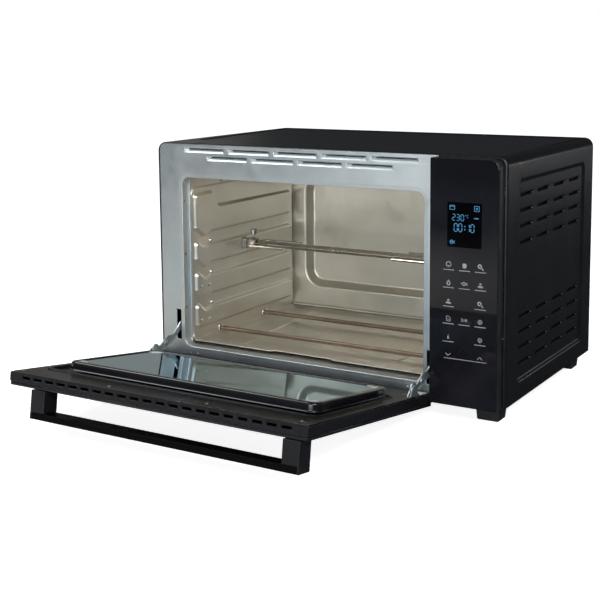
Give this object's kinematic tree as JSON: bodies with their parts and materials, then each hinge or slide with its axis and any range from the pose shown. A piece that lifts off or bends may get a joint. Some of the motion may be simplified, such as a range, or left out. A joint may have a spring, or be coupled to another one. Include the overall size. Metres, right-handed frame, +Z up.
{
  "type": "toaster oven",
  "caption": "Countertop toaster oven with a drop-down door, steel cavity, rod heaters, rotisserie spit, crumb tray and touch control panel.",
  "frame": {"origin": "on the resting plane, under the middle of the whole object with its door open", "axes": "+X to the control panel side, +Y to the back, +Z up"},
  "size_m": [0.55, 0.6766, 0.344],
  "materials": {
    "black_paint": "satin",
    "door_black": "semi-gloss",
    "galvanised_steel": "matt galvanised",
    "liner_steel": "satin",
    "hinge_steel": "satin",
    "bright_steel": "polished",
    "heating_element": "heat-darkened",
    "black_glass": "gloss",
    "smoked_glass": "gloss",
    "clear_glass": "frosted",
    "black_rubber": "matt",
    "black_plastic": "satin",
    "white_ceramic": "matt",
    "circuit_board": "satin",
    "dark_metal": "satin",
    "mineral_wool": "fibrous",
    "display_face": "gloss"
  },
  "bodies": {
    "oven": {"outer_casing": "black_paint", "rear_cover": "black_paint", "base_plate": "black_paint", "foot_front_left": "black_rubber", "foot_front_right": "black_rubber", "foot_rear_left": "black_rubber", "foot_rear_right": "black_rubber", "front_frame": "galvanised_steel", "pivot_ear_left": "hinge_steel", "pivot_ear_right": "hinge_steel", "liner_left": "liner_steel", "liner_right": "liner_steel", "liner_back": "liner_steel", "liner_top": "liner_steel", "liner_floor": "liner_steel", "insulation_blanket": "mineral_wool", "heater_bottom_front": "heating_element", "heater_bottom_rear": "heating_element", "heater_top_front": "heating_element", "heater_top_rear": "heating_element", "spit_support": "hinge_steel", "rotisserie_motor": "dark_metal", "fan_housing": "galvanised_steel", "fan_motor": "dark_metal", "lamp_lens": "clear_glass", "lamp_holder": "white_ceramic", "temperature_probe": "hinge_steel", "thermal_cutoff": "white_ceramic", "control_panel_glass": "black_glass", "control_panel_housing": "black_plastic", "display_module": "display_face", "touch_board": "circuit_board", "power_board": "circuit_board", "transformer": "dark_metal", "cord_inlet": "black_rubber"},
    "door": {"door_inner_plate": "door_black", "door_outer_glass": "black_glass", "door_frame": "door_black", "door_vent_strip": "door_black", "window_frame": "door_black", "window_glass": "smoked_glass", "handle_bar": "door_black", "handle_post_left": "door_black", "handle_post_right": "door_black", "hinge_bracket_left": "hinge_steel", "hinge_bracket_right": "hinge_steel"},
    "hinge_arm_left": {"hinge_arm_left": "hinge_steel"},
    "hinge_arm_right": {"hinge_arm_right": "hinge_steel"},
    "tray": {"crumb_tray": "liner_steel"},
    "spit": {"spit_rod": "bright_steel", "drive_socket": "hinge_steel"},
    "fork_left": {"spit_fork_left": "bright_steel"},
    "fork_right": {"spit_fork_right": "bright_steel"},
    "fork_screw_left": {"fork_screw_left": "bright_steel"},
    "fork_screw_right": {"fork_screw_right": "bright_steel"},
    "fan": {"convection_fan": "hinge_steel", "fan_shaft": "galvanised_steel", "cooling_fan": "hinge_steel"}
  },
  "joints": [
    {"name": "door_hinge", "type": "hinge", "parent": "oven", "child": "door", "pos_m": [0, -0.01418, 0.0245], "axis": [1, 0, 0], "range_deg": [-81.8, 0]},
    {"name": "hinge_arm_left_turn", "type": "hinge", "parent": "door", "child": "hinge_arm_left", "pos_m": [-0.2418, -0.07016, 0.0455], "axis": [1, 0, 0], "range_deg": [0, 56]},
    {"name": "hinge_arm_right_turn", "type": "hinge", "parent": "door", "child": "hinge_arm_right", "pos_m": [0.1683, -0.05928, 0.04393], "axis": [1, 0, 0], "range_deg": [0, 56]},
    {"name": "crumb_tray_slide", "type": "slide", "parent": "oven", "child": "tray", "axis": [0, -1, 0], "range_m": [0, 0.09]},
    {"name": "spit_spin", "type": "hinge", "parent": "oven", "child": "spit", "pos_m": [0, 0.13781, 0.1765], "axis": [1, 0, 0], "continuous": true},
    {"name": "fork_left_slide", "type": "slide", "parent": "spit", "child": "fork_left", "axis": [1, 0, 0], "range_m": [0, 0.1]},
    {"name": "fork_right_slide", "type": "slide", "parent": "spit", "child": "fork_right", "axis": [1, 0, 0], "range_m": [-0.1, 0]},
    {"name": "fork_screw_left_turn", "type": "hinge", "parent": "fork_left", "child": "fork_screw_left", "pos_m": [-0.203, 0.13781, 0.1765], "axis": [0, 0, 1], "continuous": true},
    {"name": "fork_screw_right_turn", "type": "hinge", "parent": "fork_right", "child": "fork_screw_right", "pos_m": [0.123, 0.13781, 0.1765], "axis": [0, 0, -1], "continuous": true},
    {"name": "fan_spin", "type": "hinge", "parent": "oven", "child": "fan", "pos_m": [0, 0.22381, 0.2055], "axis": [1, 0, 0], "continuous": true}
  ],
  "couplings": [
    {"joint": "hinge_arm_left_turn", "follows": "door_hinge", "ratio": -0.68215},
    {"joint": "hinge_arm_right_turn", "follows": "door_hinge", "ratio": -0.68215}
  ]
}
